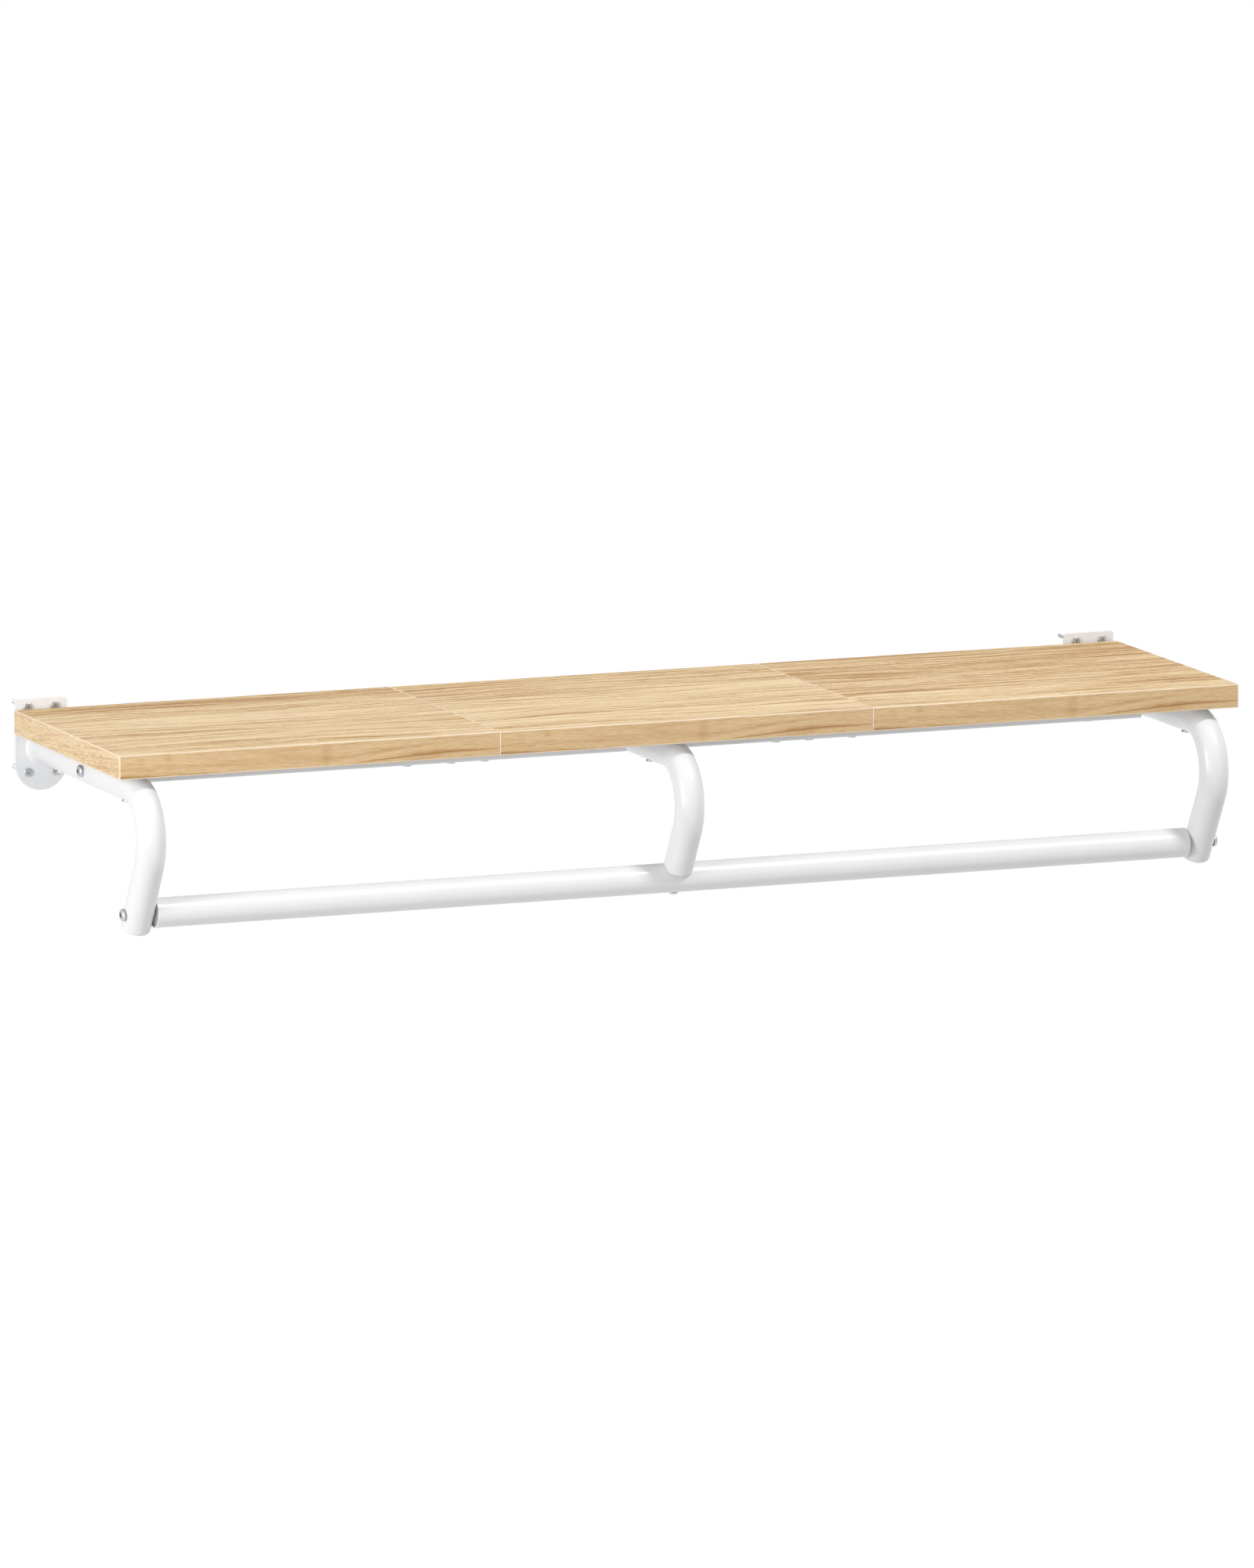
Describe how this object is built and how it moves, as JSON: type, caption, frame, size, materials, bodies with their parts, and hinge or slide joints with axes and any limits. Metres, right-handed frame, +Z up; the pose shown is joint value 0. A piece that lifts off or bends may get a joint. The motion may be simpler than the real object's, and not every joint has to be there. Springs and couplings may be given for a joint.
{
  "type": "wall shelf with hanging rail",
  "caption": "Wall-mounted oak board shelf on bent white tube arms, with a round rail underneath for hanging clothes or towels.",
  "frame": {"origin": "on the wall, in the plane of the wall plates' backs, halfway along the shelf and level with the top of the boards", "axes": "+X along the shelf to the right as seen from the room, +Y into the wall, +Z up"},
  "size_m": [1, 0.3152, 0.1627],
  "materials": {
    "oak_laminate": "light oak laminate, matt, with a fine long grain",
    "white_coat": "white powder coat, semi-gloss",
    "white_plastic": "moulded white polypropylene",
    "grey_nylon": "moulded grey nylon",
    "zinc_steel": "bright zinc-plated steel"
  },
  "bodies": {
    "root": {"board_left": "oak_laminate", "board_middle": "oak_laminate", "board_right": "oak_laminate", "wall_plate_left": "white_coat", "wall_plate_right": "white_coat", "arm_left": "white_coat", "arm_middle": "white_coat", "arm_right": "white_coat", "crossbar": "white_coat", "rail": "white_coat", "arm_cap_left": "white_plastic", "arm_cap_right": "white_plastic", "rail_insert_left": "grey_nylon", "rail_insert_right": "grey_nylon", "crossbar_insert_left": "grey_nylon", "crossbar_insert_right": "grey_nylon", "arm_insert_middle_front": "grey_nylon", "arm_insert_middle_rear": "grey_nylon", "rail_bolt_left": "zinc_steel", "rail_bolt_right": "zinc_steel", "crossbar_bolt_left": "zinc_steel", "crossbar_bolt_right": "zinc_steel", "middle_rail_bolt": "zinc_steel", "middle_crossbar_bolt": "zinc_steel", "arm_screw_left_front": "zinc_steel", "arm_screw_left_rear": "zinc_steel", "arm_screw_middle": "zinc_steel", "arm_screw_right_front": "zinc_steel", "arm_screw_right_rear": "zinc_steel", "crossbar_screw_left_1": "zinc_steel", "crossbar_screw_left_2": "zinc_steel", "crossbar_screw_left_3": "zinc_steel", "crossbar_screw_right_1": "zinc_steel", "crossbar_screw_right_2": "zinc_steel", "crossbar_screw_right_3": "zinc_steel", "wall_screw_left_upper_left": "zinc_steel", "wall_screw_left_upper_right": "zinc_steel", "wall_screw_left_lower_left": "zinc_steel", "wall_screw_left_lower_right": "zinc_steel", "wall_screw_right_upper_left": "zinc_steel", "wall_screw_right_upper_right": "zinc_steel", "wall_screw_right_lower_left": "zinc_steel", "wall_screw_right_lower_right": "zinc_steel"}
  },
  "joints": []
}
